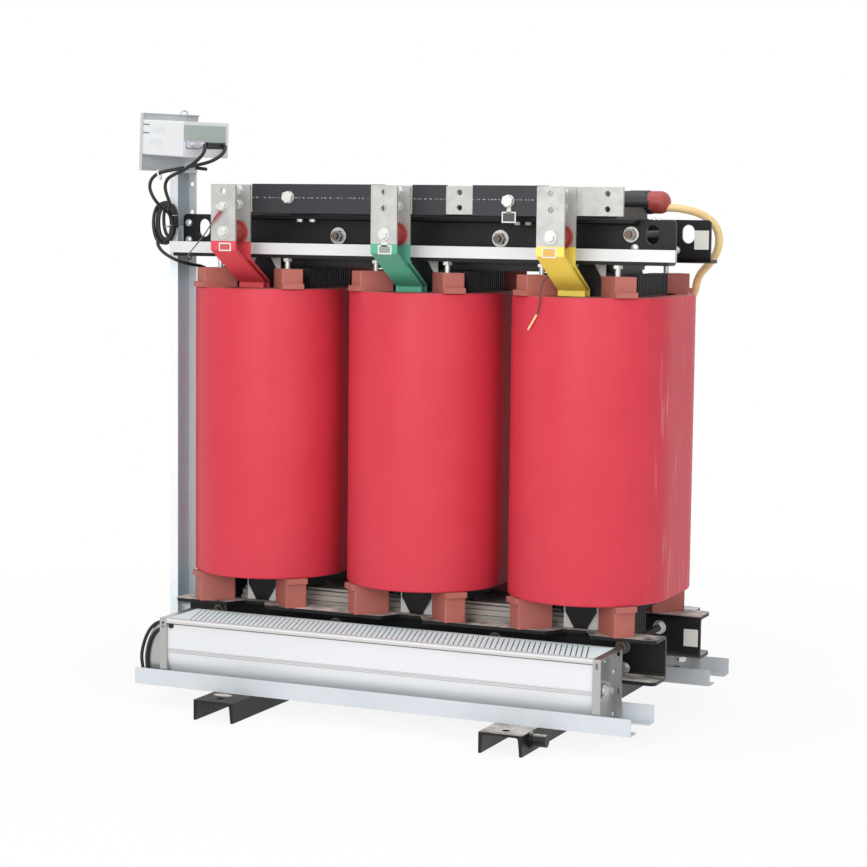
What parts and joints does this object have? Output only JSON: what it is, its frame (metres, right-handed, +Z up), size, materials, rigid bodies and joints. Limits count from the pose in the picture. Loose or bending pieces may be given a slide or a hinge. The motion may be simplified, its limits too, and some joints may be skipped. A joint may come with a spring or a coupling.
{
  "type": "cast-resin power transformer",
  "caption": "Three-phase dry-type power transformer: red cast coils on a clamped core, flat low-voltage bars, under-coil cross-flow fans and a temperature controller, on channel skids.",
  "frame": {"origin": "floor level, under the middle of the overall outline without the free cables; the middle limb's axis is 26.25 mm to the right of it", "axes": "+X along the core to the right end seen from the low-voltage side, +Y from the low-voltage front to the high-voltage rear, +Z up"},
  "size_m": [1.2964, 0.914, 1.3771],
  "materials": {
    "cast_resin": "gloss",
    "winding_resin": "satin",
    "core_steel": "satin",
    "clamp_paint": "satin",
    "skid_paint": "matte",
    "block_resin": "matte",
    "white_board": "matte",
    "white_strip": "satin",
    "plated_steel": "satin",
    "galvanised": "satin",
    "stainless": "brushed",
    "tinned_bar": "satin",
    "black_sleeve": "matte",
    "tap_brass": "satin",
    "case_white": "satin",
    "plug_dark": "matte",
    "rail_zinc": "satin",
    "cable_black": "matte",
    "lead_cream": "satin",
    "lead_red": "satin"
  },
  "bodies": {
    "root": {"bottom_clamp_front": "clamp_paint", "bottom_clamp_rear": "clamp_paint", "bottom_support_blocks": "block_resin", "clamp_feet": "clamp_paint", "clamp_rods": "plated_steel", "control_cable": "cable_black", "control_cable_hank": "cable_black", "controller_case": "case_white", "controller_plugs": "plug_dark", "controller_post": "galvanised", "controller_tray": "galvanised", "core_bottom_yoke": "core_steel", "core_limbs": "core_steel", "core_top_yoke": "core_steel", "edge_strip": "white_strip", "fan_cables": "cable_black", "fan_casing_front": "stainless", "fan_casing_rear": "stainless", "fan_end_plates_front": "stainless", "fan_end_plates_rear": "stainless", "fan_grille_front": "stainless", "fan_grille_rear": "stainless", "fan_rails_front": "rail_zinc", "fan_rails_rear": "rail_zinc", "hv_coil_centre": "cast_resin", "hv_coil_left": "cast_resin", "hv_coil_right": "cast_resin", "hv_lead": "lead_cream", "hv_link_bar": "black_sleeve", "hv_link_caps": "block_resin", "hv_link_saddles": "block_resin", "hv_tap_studs": "tap_brass", "insulating_boards": "white_board", "lv_coils": "winding_resin", "neutral_bar": "tinned_bar", "neutral_brackets": "clamp_paint", "neutral_leads": "tinned_bar", "neutral_sleeves": "black_sleeve", "phase_bar_centre": "tinned_bar", "phase_bar_left": "tinned_bar", "phase_bar_right": "tinned_bar", "press_bolts": "plated_steel", "sense_lead": "lead_red", "sensor_cable": "cable_black", "sensor_wire": "lead_cream", "skid_left": "skid_paint", "skid_right": "skid_paint", "standoff_insulators": "block_resin", "tie_plates": "clamp_paint", "top_clamp_front": "clamp_paint", "top_clamp_rear": "clamp_paint", "top_support_blocks": "block_resin"}
  },
  "joints": []
}
